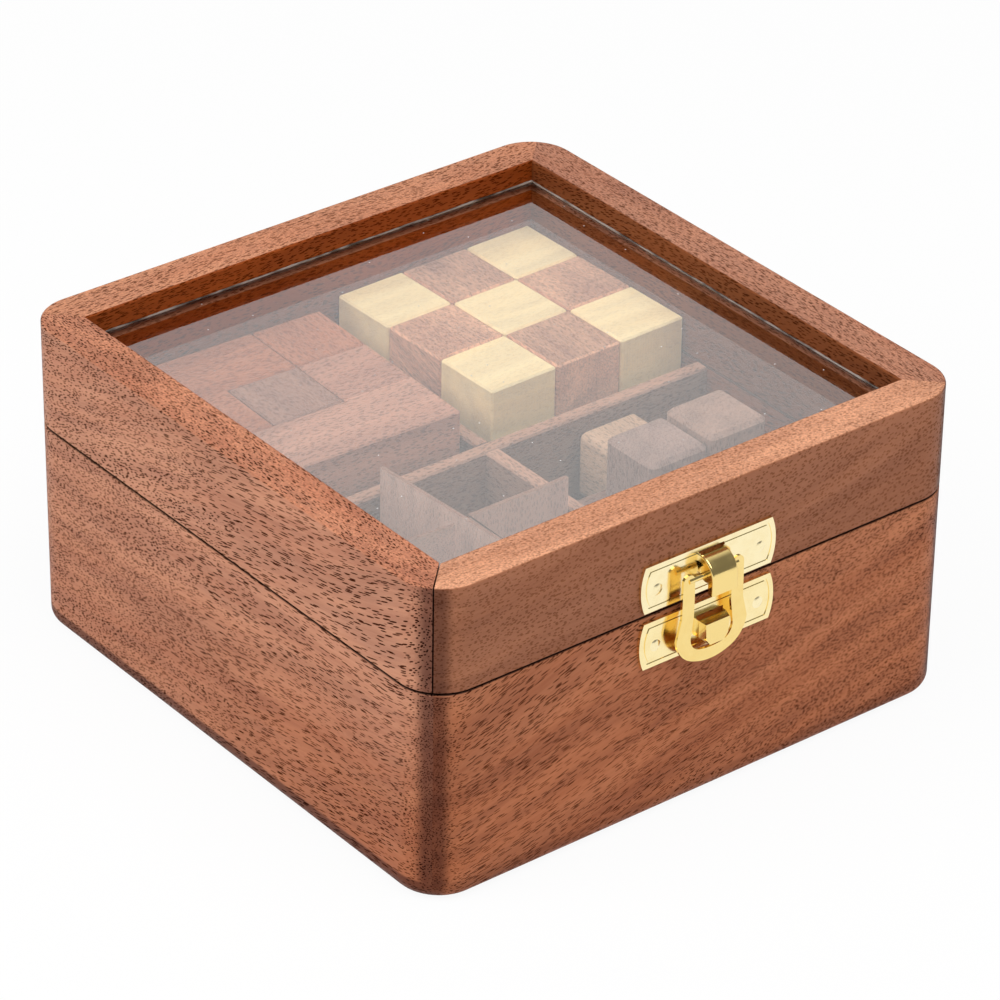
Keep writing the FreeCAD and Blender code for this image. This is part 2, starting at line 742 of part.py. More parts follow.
def tangram_right_column():
    """Medium triangle with its long side upright, and the two small triangles that square it off."""
    wide = tangram_half
    shapes = {"tangram_medium_triangle": [(0, 0), (wide, wide), (0, 2 * wide)],
              "tangram_small_triangle_upper": [(0, 2 * wide), (wide, wide), (wide, 2 * wide)],
              "tangram_small_triangle_lower": [(0, 0), (wide, 0), (wide, wide)]}
    for name, points in shapes.items():
        plate = standing_plate(points)
        plate.translate(V(left_room[1] - wide - tangram_side_gap / 4, tangram_sheet_y, floor_top))
        save(name, plate)


def tangram_left_pieces():
    """Parallelogram on edge along the room, with the small square across its top."""
    wide = tangram_half
    middle = (left_room[0] + tangram_sheet_x) / 2 - tangram_square_shift
    lean = standing_plate([(0, 0), (wide, 0), (2 * wide, wide), (wide, wide)])
    lean.rotate(V(0, 0, 0), V(0, 0, 1), 90)
    lean.translate(V(middle, front_room[0] + tangram_gap, floor_top))
    save("tangram_parallelogram", lean)
    square = standing_plate([(0, 0), (wide, 0), (wide, wide), (0, wide)])
    square.translate(V(-wide / 2, 0, 0))
    square.rotate(V(0, 0, 0), V(0, 0, 1), -tangram_square_turn)
    square.translate(V(middle, tangram_sheet_y, floor_top + wide))
    save("tangram_square", square)


def build():
    os.makedirs("parts", exist_ok=True)
    base_boards()
    save("base_floor_panel", panel(0, floor_top))
    dividers()
    lid_rails()
    save("lid_glass", panel(glass_low, glass_top))
    hinges()
    latch_upper_plate()
    latch_bail()
    latch_lower_plate()
    latch_brads()
    soma_cube()
    snake_cube()
    tangram_large_triangles()
    tangram_right_column()
    tangram_left_pieces()
    burr()


build()
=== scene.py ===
"""Looks of the wooden puzzle box: procedural woods, brass and glass, studio light and camera."""
import math

import bpy
from mathutils import Matrix, Vector


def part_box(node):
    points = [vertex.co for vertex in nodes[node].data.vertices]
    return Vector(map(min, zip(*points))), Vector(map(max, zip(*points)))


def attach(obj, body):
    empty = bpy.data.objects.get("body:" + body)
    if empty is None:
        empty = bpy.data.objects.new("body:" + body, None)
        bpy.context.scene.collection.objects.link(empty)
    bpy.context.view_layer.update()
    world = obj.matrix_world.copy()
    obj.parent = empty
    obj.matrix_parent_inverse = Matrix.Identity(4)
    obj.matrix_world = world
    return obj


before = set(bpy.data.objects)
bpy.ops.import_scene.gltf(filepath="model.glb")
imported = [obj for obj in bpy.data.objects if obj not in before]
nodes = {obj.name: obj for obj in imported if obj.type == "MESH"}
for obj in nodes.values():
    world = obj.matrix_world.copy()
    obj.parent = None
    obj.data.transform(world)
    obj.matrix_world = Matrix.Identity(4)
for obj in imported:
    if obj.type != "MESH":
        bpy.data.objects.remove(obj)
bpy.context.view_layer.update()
scene = bpy.context.scene

# Places on the box, in metres
half_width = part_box("base_right_wall")[1][0]
half_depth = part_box("base_back_wall")[1][1]
inner_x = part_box("long_divider")[1][0]
inner_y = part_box("back_short_divider")[1][1]
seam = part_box("base_left_wall")[1][2]
half_seam_gap = 0.000125
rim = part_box("lid_left_rail")[1][2]
corner_radius = 0.0096

# Figure of the wood. Scales are noise per millimetre along and across the grain. Steps and reaches are in
# millimetres unless a comment says otherwise, and a step moves the figure on for each seed or strung cube.
MM = 1000.0
SEED_STEP = (37.0, 11.3, 7.7)
CUBE_STEP = (97.0, 53.0, 71.0)
WARP_SCALE, WARP_REACH = (0.012, 0.03, 0.03), (4.0, 12.0, 12.0)
BAND_SCALE, BAND_SHARE = (0.011, 0.13, 0.13), 0.55
STREAK_SCALE = (0.06, 1.5, 1.5)
SMOKE_SCALE, SMOKE_TINT = (0.03, 0.24, 0.24), (0.6, 0.58, 0.62)
SHEEN_SCALE = (0.05, 0.3, 0.3)
DITHER_SCALE, DITHER_REACH = (0.15, 0.5, 0.5), 0.16  # reach in metres
DOT_SIZE, DASH_SIZE, PORE_BLUR = 0.33, 0.31, 0.08  # shares of a cell
DASH_STRETCH, DASH_WIDENING = 3.0, 1.1
PORE_TINT = (0.11, 0.07, 0.06)
WOOD_GLOSS = 0.12

# Finish of the boards
WARM_TINT = (0.8, 0.62, 0.48)
# Tint of the painted shade at the rounded corners and along the foot of the boards
PAINTED_SHADE_TINT = (0.27, 0.213, 0.22)
SEAM_TINT = (0.07, 0.055, 0.05)
GRIT_SCALE = (2600.0, 2600.0, 2600.0)  # per metre


class Graph:
    """Node tree of a material or a world, with short calls to add a node and wire it up."""

    def __init__(self, owner):
        owner.use_nodes = True
        self.owner = owner
        self.tree = owner.node_tree
        self.tree.nodes.clear()

    def add(self, kind, inputs=None, **settings):
        node = self.tree.nodes.new(kind)
        for key, value in settings.items():
            setattr(node, key, value)
        for key, value in (inputs or {}).items():
            if isinstance(value, bpy.types.NodeSocket):
                self.tree.links.new(value, node.inputs[key])
            else:
                node.inputs[key].default_value = value
        return node

    def math(self, operation, a, b=0.0, clamp=False):
        return self.add("ShaderNodeMath", {0: a, 1: b}, operation=operation, use_clamp=clamp).outputs[0]

    def vector(self, operation, a, b):
        return self.add("ShaderNodeVectorMath", {0: a, 1: b}, operation=operation).outputs[0]

    def split(self, vector):
        """Parts X, Y and Z of a vector."""
        return self.add("ShaderNodeSeparateXYZ", {0: vector}).outputs

    def ramp(self, value, low, high, start=0.0, end=1.0):
        """Smooth step of a value from start at low to end at high."""
        return self.add("ShaderNodeMapRange", {0: value, 1: low, 2: high, 3: start, 4: end},
                        interpolation_type="SMOOTHSTEP").outputs[0]

    def noise(self, place, scale, detail=2.0, roughness=0.5):
        """Noise, as Fac and Color, over a place that is first stretched by a scale per axis."""
        stretched = self.vector("MULTIPLY", place, scale)
        return self.add("ShaderNodeTexNoise", {"Vector": stretched, "Scale": 1.0, "Detail": detail,
                                               "Roughness": roughness}).outputs

    def mix(self, factor, a, b, blend="MIX"):
        return self.add("ShaderNodeMix", {0: factor, 6: a, 7: b}, data_type="RGBA",
                        blend_type=blend).outputs[2]

    def scaled(self, color, factor):
        """Colour or vector times a factor."""
        return self.add("ShaderNodeVectorMath", {0: color, 3: factor}, operation="SCALE").outputs[0]

    def tinted(self, mask, color, tint):
        """Colour multiplied by a tint where the mask is 1."""
        return self.mix(mask, color, self.mix(1.0, color, rgb(*tint), "MULTIPLY"))

    def bump(self, strength, distance, height):
        inputs = {"Strength": strength, "Distance": distance, "Height": height}
        return self.add("ShaderNodeBump", inputs).outputs[0]

    def finish(self, shader, output="ShaderNodeOutputMaterial"):
        """Wire a shader to the output and give back the material or world."""
        self.add(output, {"Surface": shader})
        return self.owner

    def principled(self, inputs):
        return self.finish(self.add("ShaderNodeBsdfPrincipled", inputs).outputs[0])


def material(name):
    return Graph(bpy.data.materials.new(name))


def rgb(red, green, blue):
    return (red, green, blue, 1.0)


def assign(name, look):
    """Give a node its one material."""
    node = nodes[name]
    node.data.materials.clear()
    node.data.materials.append(look)


def grain_space(g, grain, seed, tilt=0.0):
    """Place on a piece in millimetres, turned so that the grain runs along the first axis."""
    parts = g.split(g.add("ShaderNodeTexCoord").outputs["Object"])
    order = {"X": "XYZ", "Y": "YXZ", "Z": "ZXY"}[grain]
    turned = g.add("ShaderNodeCombineXYZ", {i: parts[axis] for i, axis in enumerate(order)}).outputs[0]
    return g.add("ShaderNodeMapping", {"Vector": turned, "Scale": (MM, MM, MM),
                                       "Location": tuple(seed * step for step in SEED_STEP),
                                       "Rotation": (0.0, math.radians(tilt), 0.0)}).outputs[0]


def pore_mask(g, place, length, width, size):
    """Mask of small dashes along the grain, from cells of a length and width. Size is a share of a cell."""
    cells = g.vector("MULTIPLY", place, (1.0 / length, 1.0 / width, 1.0 / width))
    cell = g.add("ShaderNodeTexVoronoi", {"Vector": cells, "Scale": 1.0, "Randomness": 1.0})
    return g.ramp(cell.outputs["Distance"], size, size + PORE_BLUR, 1.0, 0.0)


def cube_chance(g, coords):
    """Random number for each cube of the strung puzzle, which stands turned by one degree."""
    turn_back, cubes_along = math.radians(-1.0), 3.0
    boxes = [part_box("snake_" + tone + "_cubes_" + layer) for tone in ("light", "dark")
             for layer in ("bottom", "middle", "top")]
    low = [min(box[0][i] for box in boxes) for i in range(3)]
    high = [max(box[1][i] for box in boxes) for i in range(3)]
    middle = [(a + b) / 2 for a, b in zip(low, high)]
    square = g.add("ShaderNodeVectorRotate", {"Vector": coords.outputs["Object"], "Center": middle,
                                              "Angle": turn_back}, rotation_type="Z_AXIS")
    cell = cubes_along / (high[2] - low[2])
    counted = g.vector("MULTIPLY", g.vector("SUBTRACT", square.outputs[0], middle), (cell, cell, cell))
    whole = g.vector("FLOOR", g.vector("ADD", counted, (cubes_along / 2,) * 3), (0.0, 0.0, 0.0))
    return g.add("ShaderNodeTexWhiteNoise", {"Vector": whole}).outputs["Value"]


def wood(name, grain, seed, pale, deep, tilt=0.0, pore=0.85, dots=(1.1, 0.32), dashes=None, smoke=0.3,
         streak=0.4, roughness=0.46, blocks=None, finish=None):
    """Wood with growth bands, fine streaks along the grain, smoky patches and dark open pores.

    pale and deep are its two tones, tilt is the grain's slope in degrees, and dots is the length and width
    of a pore's cell in millimetres. dashes is an axis and two places along it, between which the pores grow
    long. blocks is the darkest and the lightest tone of the strung cubes in one piece, each with a figure of
    its own. finish adds to the colour."""
    g = material(name)
    coords = g.add("ShaderNodeTexCoord")
    place = grain_space(g, grain, seed, tilt)
    if blocks:
        chance = cube_chance(g, coords)
        place = g.vector("ADD", place, g.scaled(CUBE_STEP, chance))
    warp = g.vector("SUBTRACT", g.noise(place, WARP_SCALE, 1.0)["Color"], (0.5, 0.5, 0.5))
    place = g.vector("ADD", place, g.vector("MULTIPLY", warp, WARP_REACH))

    bands = g.ramp(g.noise(place, BAND_SCALE)["Fac"], 0.33, 0.68)
    fine = g.noise(place, STREAK_SCALE, 3.0, 0.62)["Fac"]
    streaks = g.math("MULTIPLY", g.ramp(fine, 0.3, 0.72), streak)
    tone = g.math("ADD", g.math("MULTIPLY", bands, BAND_SHARE), streaks)
    color = g.mix(g.math("MULTIPLY", tone, 0.95, True), rgb(*pale), rgb(*deep))
    crowd = g.ramp(g.noise(place, SMOKE_SCALE)["Fac"], 0.36, 0.66)
    color = g.tinted(g.math("MULTIPLY", crowd, smoke), color, SMOKE_TINT)

    spots = pore_mask(g, place, *dots, DOT_SIZE)
    if dashes:
        axis, low, high = dashes
        along = g.split(coords.outputs["Object"])[axis]
        spread = g.math("SUBTRACT", g.noise(place, DITHER_SCALE)["Fac"], 0.5)
        wobble = g.math("MULTIPLY", spread, DITHER_REACH)
        share = g.ramp(g.math("ADD", along, wobble), low, high)
        long_spots = pore_mask(g, place, dots[0] * DASH_STRETCH, dots[1] * DASH_WIDENING, DASH_SIZE)
        spots = g.mix(share, spots, long_spots)
    pits = g.math("MULTIPLY", spots, g.ramp(crowd, 0.0, 0.7, 0.8, 1.0))
    pore_color = rgb(*(share * part for share, part in zip(PORE_TINT, deep)))
    color = g.mix(g.math("MULTIPLY", pits, pore, True), color, pore_color)

    if blocks:
        color = g.scaled(color, g.ramp(chance, 0.0, 1.0, *blocks))
    if finish:
        color = finish(g, coords, color)
    height = g.math("SUBTRACT", g.math("MULTIPLY", fine, 0.25), pits)
    sheen = g.noise(place, SHEEN_SCALE)["Fac"]
    return g.principled({"Base Color": color,
                         "Roughness": g.ramp(sheen, 0.2, 0.8, roughness - 0.06, roughness + 0.08),
                         "Normal": g.bump(0.4, 0.00012, height),
                         "Specular IOR Level": g.ramp(pits, 0.0, 0.6, WOOD_GLOSS, 0.0)})


def board_finish(top=(1.0, 1.0, 1.0), inner=(0.45, 0.27, 0.135), foot=0.9, corner=0.86, warm=0.75):
    """Finish of one board: painted light and shade on its top, painted shade on its inner faces, at the
    rounded corners and along the foot, warmer low down, and a dark seam.

    top and inner are tints of this painted light and shade. foot, corner and warm say how strong each change
    is."""

    def finish(g, coords, color):
        x, y, height = g.split(coords.outputs["Object"])
        facing = g.split(coords.outputs["Normal"])["Z"]
        far_x = g.math("ABSOLUTE", x)
        far_y = g.math("ABSOLUTE", y)

        near = g.ramp(y, 0.05, -0.05, 0.4, 1.0)
        low = g.math("MULTIPLY", g.ramp(height, 0.012, 0.05, warm, 0.0), near)
        color = g.tinted(low, color, WARM_TINT)
        # Painted shade on the inner faces of the frame
        inner_shade_mask = g.math("MULTIPLY", g.ramp(far_x, inner_x + 0.0002, inner_x + 0.0005, 1.0, 0.0),
                        g.ramp(far_y, inner_y + 0.0002, inner_y + 0.0005, 1.0, 0.0))
        color = g.tinted(inner_shade_mask, color, inner)

        # The top faces get a sanding grit and a tint of painted light and shade, lighter or darker board by
        # board
        upward = g.math("MULTIPLY", g.ramp(facing, 0.5, 0.9), g.ramp(height, rim - 0.003, rim - 0.001))
        grit = g.ramp(g.noise(coords.outputs["Object"], GRIT_SCALE, 1.0)["Fac"], 0.3, 0.7, -0.2, 0.2)
        color = g.scaled(color, g.math("ADD", 1.0, g.math("MULTIPLY", upward, grit)))
        color = g.tinted(upward, color, top)

        past_x = g.math("SUBTRACT", far_x, half_width - corner_radius)
        past_y = g.math("SUBTRACT", far_y, half_depth - corner_radius)
        # Painted shade: the rounded upright corners and the foot are darkened
        edge = g.ramp(g.math("MINIMUM", past_x, past_y), 0.0033, 0.0058, 0.0, corner)
        painted_corner_shade = g.math("MULTIPLY", edge, g.ramp(facing, 0.5, 0.9, 1.0, 0.0))
        painted_foot_shade = g.ramp(height, 0.0037, 0.0045, foot, 0.0)
        color = g.tinted(g.math("MAXIMUM", painted_corner_shade, painted_foot_shade), color, PAINTED_SHADE_TINT)

        # The seam is dark on the upright faces and along the outer edge of the flat ones
        from_seam = g.math("ABSOLUTE", g.math("SUBTRACT", height, seam + half_seam_gap))
        bent = g.add("ShaderNodeCombineXYZ", {0: g.math("MAXIMUM", past_x, 0.0),
                                              1: g.math("MAXIMUM", past_y, 0.0)})
        around = g.add("ShaderNodeVectorMath", {0: bent.outputs[0]}, operation="LENGTH").outputs["Value"]
        straight = g.math("MINIMUM", g.math("MAXIMUM", past_x, past_y), 0.0)
        outward = g.ramp(g.math("ADD", around, straight), corner_radius - 0.0014, corner_radius - 0.0008,
                         0.3, 1.0)
        upright = g.ramp(g.math("ABSOLUTE", facing), 0.5, 0.9, 1.0, 0.0)
        seam_edge = g.math("MULTIPLY", g.ramp(from_seam, 0.00016, 0.0004, 1.0, 0.0),
                           g.math("MAXIMUM", outward, upright))
        return g.tinted(seam_edge, color, SEAM_TINT)

    return finish


def painted_top_light(g, coords, color):
    """Finish of a divider: painted light on its top edge, which is painted paler."""
    facing = g.split(coords.outputs["Normal"])["Z"]
    return g.tinted(g.ramp(facing, 0.5, 0.9), color, (1.6, 1.55, 1.5))


def glue_line(g, coords, color):
    """Thin pale joint, slightly slanted, across a piece glued up from two strips of a different tone."""
    parts = g.split(coords.outputs["Object"])
    slant, from_edge = 0.038, 0.0162
    across = g.math("ADD", parts["Y"], g.math("MULTIPLY", parts["X"], slant))
    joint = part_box("soma_ell_piece")[0][1] + from_edge
    color = g.tinted(g.ramp(across, joint, joint + 0.0002), color, (0.9, 0.84, 0.82))
    gap = g.math("ABSOLUTE", g.math("SUBTRACT", across, joint))
    return g.tinted(g.ramp(gap, 0.00005, 0.00025, 0.8, 0.0), color, (1.35, 1.4, 1.4))


def sawn_edges(axis):
    """Finish of a thin plate across an axis: edges scorched dark by the saw."""

    def finish(g, coords, color):
        facing = g.math("ABSOLUTE", g.split(coords.outputs["Normal"])[axis])
        return g.tinted(g.ramp(facing, 0.6, 0.8, 1.0, 0.0), color, (0.4, 0.32, 0.28))

    return finish


def braid(name, seed):
    """Black elastic cord: a woven cover with slanting strands and a dull fuzz."""
    g = material(name)
    place = grain_space(g, "X", seed)
    strand = g.add("ShaderNodeTexWave", {"Vector": place, "Scale": 0.9, "Distortion": 1.2, "Detail": 1.0},
                   bands_direction="DIAGONAL").outputs["Fac"]
    fuzz = g.noise(place, (6.0, 6.0, 6.0))["Fac"]
    color = g.mix(g.math("MULTIPLY", strand, fuzz), rgb(0.012, 0.012, 0.013), rgb(0.06, 0.058, 0.056))
    return g.principled({"Base Color": color, "Roughness": g.ramp(fuzz, 0.3, 0.7, 0.7, 0.9),
                         "Normal": g.bump(0.5, 0.0001, strand), "Specular IOR Level": 0.2})


def brass(name, seed, color, roughness, painted_raised_reflection=None):
    """Stamped sheet brass, polished, with faint waves and smudges.

    What is pressed out can be given a tone of its own, which is a painted reflection."""
    g = material(name)
    place = grain_space(g, "X", seed)
    smudge = g.noise(place, (0.35, 0.35, 0.35), 3.0, 0.6)["Fac"]
    rubbed = tuple(part * share for part, share in zip(color, (0.96, 0.91, 0.8)))
    tint = g.mix(g.ramp(smudge, 0.35, 0.75, 0.0, 0.5), rgb(*color), rgb(*rubbed))
    # Painted reflection: what is pressed out is painted a deeper tone
    if painted_raised_reflection:
        out = g.split(g.add("ShaderNodeTexCoord").outputs["Object"])["Y"]
        tint = g.mix(g.ramp(out, -half_depth - 0.0009, -half_depth - 0.0016), tint, rgb(*painted_raised_reflection))
    wave = g.noise(place, (0.22, 0.22, 0.22), 1.0)["Fac"]
    return g.principled({"Base Color": tint, "Metallic": 1.0,
                         "Roughness": g.ramp(smudge, 0.25, 0.8, roughness * 0.75, roughness * 1.35),
                         "Normal": g.bump(0.2, 0.0004, wave)})


def glass():
    """Clear flat glass with a few specks of dust.

    It has one reflection from the face that is met and a weaker one from behind, and light falls through it
    almost whole."""
    front_gain, back_share = 1.9, 0.1
    g = material("clear_glass")
    place = grain_space(g, "X", 80.0)
    behind = g.add("ShaderNodeNewGeometry").outputs["Backfacing"]
    front = g.math("SUBTRACT", 1.0, behind)
    fresnel = g.add("ShaderNodeFresnel", {"IOR": 1.52}).outputs[0]
    first = g.math("MULTIPLY", g.math("MULTIPLY", fresnel, front_gain), front, True)
    both = g.math("ADD", first, g.math("MULTIPLY", behind, back_share), True)
    unlit = g.math("SUBTRACT", 1.0, g.add("ShaderNodeLightPath").outputs["Is Shadow Ray"])
    share = g.math("MULTIPLY", both, unlit)
    clear = g.add("ShaderNodeBsdfTransparent", {"Color": rgb(0.985, 0.99, 0.985)})
    mirror = g.add("ShaderNodeBsdfGlossy", {"Color": rgb(1.0, 1.0, 1.0), "Roughness": 0.03})
    pane = g.add("ShaderNodeMixShader", {0: share, 1: clear.outputs[0], 2: mirror.outputs[0]})
    cells = g.vector("MULTIPLY", place, (0.07, 0.07, 0.07))
    specks = g.add("ShaderNodeTexVoronoi", {"Vector": cells, "Scale": 1.0, "Randomness": 1.0},
                   voronoi_dimensions="2D")
    dust = g.math("MULTIPLY", g.ramp(specks.outputs["Distance"], 0.006, 0.013, 0.75, 0.0), front)
    white = g.add("ShaderNodeBsdfDiffuse", {"Color": rgb(0.9, 0.9, 0.9)})
    dusty = g.add("ShaderNodeMixShader", {0: dust, 1: pane.outputs[0], 2: white.outputs[0]})
    return g.finish(dusty.outputs[0])


def varnish():
    """Clear to brown varnish, in patches. The pale grey of the clear patches is a painted glint, on top of
    their real gloss.
    """
    g = material("sealing_varnish_and_painted_glints")
    varnish_and_glint_patch = g.noise(grain_space(g, "X", 82.0), (0.12, 0.12, 0.6), 3.0)["Fac"]
    color = g.mix(g.ramp(varnish_and_glint_patch, 0.4, 0.62), rgb(0.03, 0.014, 0.008), rgb(0.3, 0.25, 0.22))
    return g.principled({"Base Color": color, "Roughness": g.ramp(varnish_and_glint_patch, 0.35, 0.65, 0.3, 0.1),
                         "Specular IOR Level": 0.7})


# Boards of the box. The grain follows each board's length, and each side was cut from one plank.
side_tones = ((0.6, 0.283, 0.168), (0.47, 0.194, 0.113))
front_tones = ((0.575, 0.217, 0.102), (0.37, 0.117, 0.05))
lid_tones = ((0.4, 0.159, 0.082), (0.277, 0.1, 0.049))
near_half = ("Y", 0.014, 0.004)
left_half = ("X", 0.01, 0.0)
# Each board's top tint is painted light and shade on its top face; its inner tint and its foot and corner
# strengths are painted shade
assign("base_left_wall", wood("base_left_wood", "Y", 1.0, *side_tones, tilt=-8, pore=1.0, dots=(1.0, 0.31),
                              dashes=near_half, smoke=0.4, streak=0.65, finish=board_finish(warm=1.0)))
assign("lid_left_rail", wood("lid_left_wood", "Y", 1.0, *side_tones, tilt=-13, pore=1.0, dots=(1.15, 0.35),
                             dashes=near_half, smoke=0.5, streak=0.65,
                             finish=board_finish(top=(0.97, 0.87, 0.81))))
assign("base_right_wall", wood("base_right_wood", "Y", 3.0, *side_tones, tilt=-8, dashes=near_half,
                               finish=board_finish()))
assign("lid_right_rail", wood("lid_right_wood", "Y", 4.0, *side_tones, tilt=-6, pore=0.7, dots=(1.9, 0.37),
                              finish=board_finish(top=(0.78, 0.74, 0.74), inner=(0.39, 0.245, 0.12))))
assign("base_front_wall", wood("base_front_wood", "X", 5.0, *front_tones, tilt=15, dots=(1.0, 0.28),
                               dashes=left_half, smoke=0.5,
                               finish=board_finish(foot=0.35, corner=0.9, warm=0.4)))
assign("lid_front_rail", wood("lid_front_wood", "X", 6.0, *lid_tones, tilt=6, pore=0.35, dots=(1.0, 0.5),
                              finish=board_finish(top=(1.76, 2.12, 2.37), corner=0.8)))
assign("base_back_wall", wood("base_back_wood", "X", 7.0, *side_tones, tilt=5, dashes=left_half,
                              finish=board_finish()))
assign("lid_back_rail", wood("lid_back_wood", "X", 8.0, *side_tones, tilt=3, pore=0.7, dots=(1.9, 0.37),
                             finish=board_finish(top=(1.0, 0.94, 0.865), inner=(0.5, 0.22, 0.046))))
assign("base_floor_panel", wood("floor_wood", "X", 9.0, (0.3, 0.14, 0.08), (0.2, 0.08, 0.05)))

# Dividers
for index, name in enumerate(("long_divider", "back_short_divider", "front_short_divider")):
    assign(name, wood("divider_wood_" + str(index), "X" if index == 0 else "Y", 12.0 + index,
                      (0.36, 0.205, 0.145), (0.26, 0.135, 0.09), pore=0.5, dots=(1.6, 0.5), finish=painted_top_light))

# Cube puzzle: every piece was sawn from its own strip, so each has its grain, its pale and its deep tone
red_strip = ((0.56, 0.2, 0.1), (0.36, 0.115, 0.055))
tan_strip = ((0.62, 0.3, 0.2), (0.43, 0.19, 0.125))
grey_strip = ((0.4, 0.2, 0.14), (0.28, 0.13, 0.09))
soma_looks = {"corner": ("X", red_strip), "ell": ("X", tan_strip), "tee": ("Y", red_strip),
              "zed": ("Y", grey_strip), "left_twist": ("X", red_strip), "right_twist": ("Z", tan_strip),
              "tripod": ("Y", grey_strip)}
for index, (word, (grain, tones)) in enumerate(soma_looks.items()):
    assign("soma_" + word + "_piece", wood("soma_wood_" + word, grain, 20.0 + index, *tones, pore=0.45,
                                           dots=(1.6, 0.45), finish=glue_line if word == "ell" else None))

# Cord-strung cubes, each with its own figure
light_tones = ((1.0, 0.79, 0.44), (1.0, 0.73, 0.36))
dark_tones = ((0.88, 0.46, 0.27), (0.45, 0.19, 0.113))
for index, layer in enumerate(("bottom", "middle", "top")):
    assign("snake_light_cubes_" + layer, wood("snake_light_wood_" + layer, "X", 30.0 + index, *light_tones,
                                              pore=0.1, dots=(1.3, 0.5), streak=0.3, blocks=(0.96, 1.02)))
    assign("snake_dark_cubes_" + layer, wood("snake_dark_wood_" + layer, "Y", 34.0 + index, *dark_tones,
                                             tilt=20, pore=0.4, dots=(1.8, 0.45), streak=0.6,
                                             blocks=(0.75, 1.2)))
assign("snake_elastic_cord", braid("cord_cover", 38.0))

# Tangram plates of thin pale wood
plate_tones = ((0.9, 0.6, 0.49), (0.78, 0.51, 0.4))
for index, name in enumerate(sorted(n for n in nodes if n.startswith("tangram_"))):
    across = "X" if "large" in name or "parallelogram" in name else "Y"
    assign(name, wood("tangram_wood_" + str(index), "Z" if index % 2 else "Y", 40.0 + index, *plate_tones,
                      pore=0.25, dots=(1.4, 0.4), roughness=0.6, finish=sawn_edges(across)))

# Burr sticks
brown = (0.4, 0.22, 0.16)
burr_looks = {"burr_left_upright": ("Z", (0.44, 0.28, 0.23)), "burr_key_upright": ("Z", (0.48, 0.29, 0.22)),
              "burr_front_crosswise": ("X", brown), "burr_back_crosswise": ("X", brown),
              "burr_lower_lengthwise": ("Y", brown), "burr_upper_lengthwise": ("Y", (0.72, 0.46, 0.3))}
for index, (name, (grain, pale)) in enumerate(burr_looks.items()):
    deep = tuple(0.72 * part for part in pale)
    assign(name, wood("burr_wood_" + str(index), grain, 50.0 + index, pale, deep, pore=0.4, dots=(1.6, 0.45),
                      streak=0.5))

# Latch and hinges
lemon, golden = (1.0, 0.87, 0.54), (0.94, 0.71, 0.28)
# The parts pressed out of both plates get a deeper gold: a painted reflection
assign("latch_upper_plate", brass("upper_plate_brass", 60.0, lemon, 0.16, painted_raised_reflection=golden))
assign("latch_lower_plate", brass("lower_plate_brass", 61.0, (0.99, 0.83, 0.45), 0.16, painted_raised_reflection=golden))
assign("latch_bail", brass("bail_brass", 62.0, golden, 0.12))
brad_brass = brass("brad_brass", 63.0, lemon, 0.2)
for name in ("latch_lid_brads", "latch_base_brads"):
    assign(name, brad_brass)
hinge_brass = brass("hinge_brass", 70.0, (0.93, 0.74, 0.4), 0.22)
for name in sorted(n for n in nodes if "hinge" in n):
    assign(name, hinge_brass)

assign("lid_glass", glass())


def sealing_bead():
    """Uneven bead of varnish that runs along the joint between the glass and the four rails."""
    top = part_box("lid_glass")[1][2]
    sides, pieces = 10, 90
    mean_radius, swell = 0.00024, 0.00005
    lift, sway = 0.00022, 0.00003
    corners = [(-inner_x, -inner_y), (inner_x, -inner_y), (inner_x, inner_y), (-inner_x, inner_y)]
    points, faces, ring = [], [], 0
    for start, end in zip(corners, corners[1:] + corners[:1]):
        run = Vector((end[0] - start[0], end[1] - start[1], 0))
        inward = Vector((-run.y, run.x, 0)).normalized()
        for step in range(pieces):
            share = step / pieces
            wave = math.sin(37.0 * share + ring * 0.11) + math.sin(91.0 * share + 1.7 * ring) * 0.6
            radius = mean_radius + swell * wave
            centre = Vector((start[0], start[1], top + lift + sway * wave)) + run * share
            for side in range(sides):
                angle = 2 * math.pi * side / sides
                across = inward * radius * math.cos(angle)
                points.append(centre + across + Vector((0, 0, radius * math.sin(angle))))
            ring += 1
    total = ring
    for ring in range(total):
        here, after = ring * sides, (ring + 1) % total * sides
        for side in range(sides):
            beside = (side + 1) % sides
            faces.append((here + side, here + beside, after + beside, after + side))
    mesh = bpy.data.meshes.new("glass_sealing_bead")
    mesh.from_pydata(points, [], faces)
    for polygon in mesh.polygons:
        polygon.use_smooth = True
    mesh.materials.append(varnish())
    bead = bpy.data.objects.new("glass_sealing_bead", mesh)
    scene.collection.objects.link(bead)
    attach(bead, "lid")


def stage_floor():
    """Floor that is nearly white to look at and keeps a little of the shadow."""
    reach, drop, white_share = 6.0, 0.0002, 0.93
    mesh = bpy.data.meshes.new("studio_floor")
    mesh.from_pydata([(-reach, -reach, 0), (reach, -reach, 0), (reach, reach, 0), (-reach, reach, 0)], [],
                     [(0, 1, 2, 3)])
    floor = bpy.data.objects.new("studio_floor", mesh)
    floor.location.z = -drop
    scene.collection.objects.link(floor)
    g = material("studio_floor")
    path = g.add("ShaderNodeLightPath")
    seen = g.math("MAXIMUM", path.outputs["Is Camera Ray"], path.outputs["Is Transmission Ray"])
    seen = g.math("MAXIMUM", seen, path.outputs["Is Glossy Ray"])
    share = g.math("MULTIPLY", seen, white_share)
    paper = g.add("ShaderNodeBsdfDiffuse", {"Color": rgb(0.82, 0.82, 0.82)})
    glow = g.add("ShaderNodeEmission", {"Color": rgb(1.0, 1.0, 1.0), "Strength": 1.0})
    look = g.add("ShaderNodeMixShader", {0: share, 1: paper.outputs[0], 2: glow.outputs[0]})
    mesh.materials.append(g.finish(look.outputs[0]))


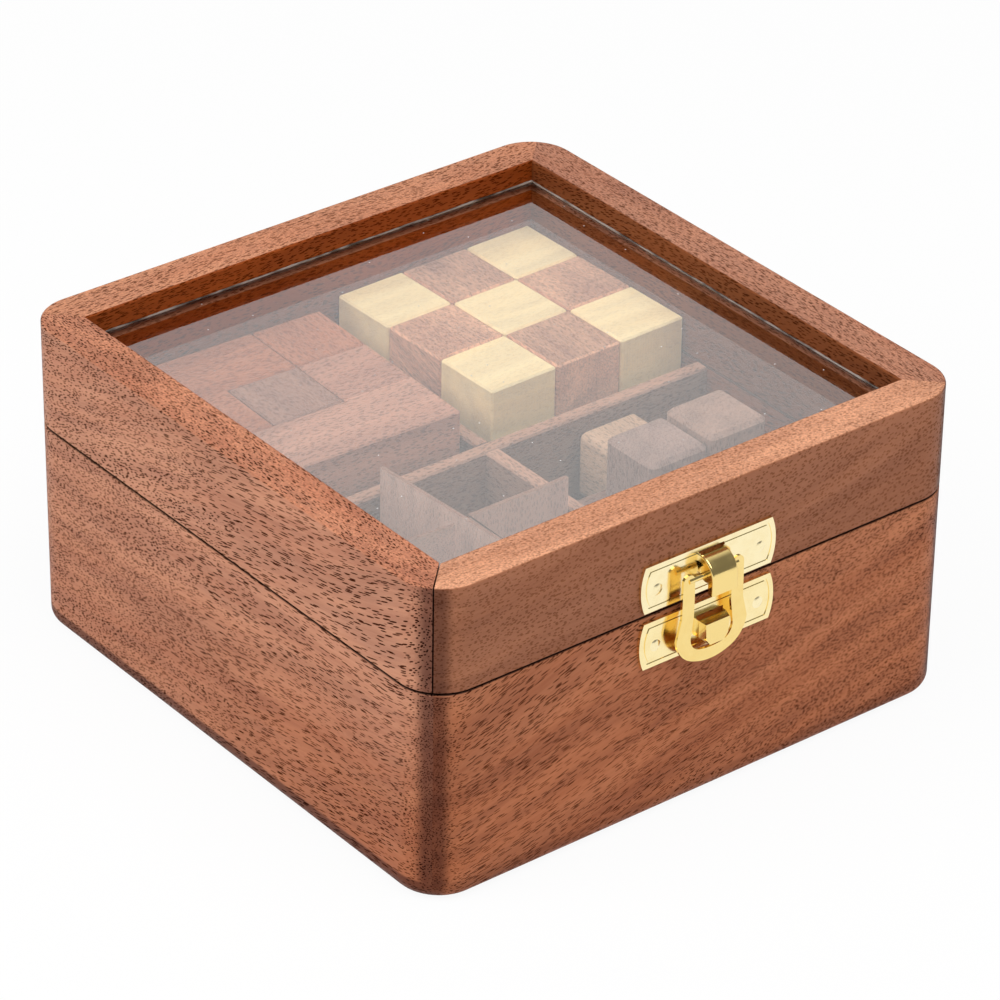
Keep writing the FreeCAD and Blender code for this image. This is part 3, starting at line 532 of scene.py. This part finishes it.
def surroundings():
    """White to look at. In reflections the backdrop behind the box is white and the room in front is dim."""
    scene.world = bpy.data.worlds.new("studio")
    g = Graph(scene.world)
    path = g.add("ShaderNodeLightPath")
    seen = g.math("MAXIMUM", path.outputs["Is Camera Ray"], path.outputs["Is Transmission Ray"])
    toward = g.split(g.add("ShaderNodeTexCoord").outputs["Generated"])["Y"]
    room = g.add("ShaderNodeMapRange", {0: toward, 1: -0.25, 2: 0.2, 3: 0.2, 4: 1.0}).outputs[0]
    lit = g.add("ShaderNodeMix", {0: path.outputs["Is Glossy Ray"], 2: 0.42, 3: room},
                data_type="FLOAT").outputs[0]
    strength = g.add("ShaderNodeMix", {0: seen, 2: lit, 3: 1.0}, data_type="FLOAT").outputs[0]
    background = g.add("ShaderNodeBackground", {"Color": rgb(1.0, 1.0, 1.0), "Strength": strength})
    g.finish(background.outputs[0], "ShaderNodeOutputWorld")


def softbox(name, place, aim, size, power, mirrored=True):
    """Square soft lamp that faces a point. One that isn't mirrored leaves no glare on the glass."""
    light = bpy.data.lights.new(name, "AREA")
    light.shape = "RECTANGLE"
    light.size, light.size_y = size, size
    light.energy = power
    lamp = bpy.data.objects.new(name, light)
    lamp.location = place
    lamp.rotation_euler = (Vector(aim) - Vector(place)).to_track_quat("-Z", "Y").to_euler()
    lamp.visible_glossy = mirrored
    scene.collection.objects.link(lamp)


def camera():
    """Camera at the photograph's viewing angle, from its direction, roll and distance."""
    azimuth = math.radians(-38.5565)
    elevation = math.radians(31.1491)
    roll = math.radians(0.8793)
    distance, shift_right, shift_up = 1.0114, 0.00252, 0.00161
    target = Vector((0, 0, 0.0325))
    back = Vector((math.sin(azimuth) * math.cos(elevation), -math.cos(azimuth) * math.cos(elevation),
                   math.sin(elevation)))
    level = Vector((math.cos(azimuth), math.sin(azimuth), 0))
    upright = back.cross(level)
    right = level * math.cos(roll) + upright * math.sin(roll)
    up = upright * math.cos(roll) - level * math.sin(roll)
    data = bpy.data.cameras.new("camera")
    data.sensor_width = 36.0
    data.lens = 183.589
    view = bpy.data.objects.new("camera", data)
    view.matrix_world = Matrix((right, up, back)).transposed().to_4x4()
    view.location = target + back * distance + right * shift_right + up * shift_up
    scene.collection.objects.link(view)
    scene.camera = view


sealing_bead()

# Stage: a pale floor that keeps the shadow, white surroundings, soft lamps
scene.view_settings.view_transform = "Standard"
stage_floor()
surroundings()
softbox("top_softbox", (0.0, -0.5, 1.05), aim=(0, 0, 0.05), size=0.9, power=7.5)
softbox("left_softbox", (-0.9, 0.2, 0.92), aim=(0, 0, 0.03), size=0.8, power=8.5, mirrored=False)
camera()
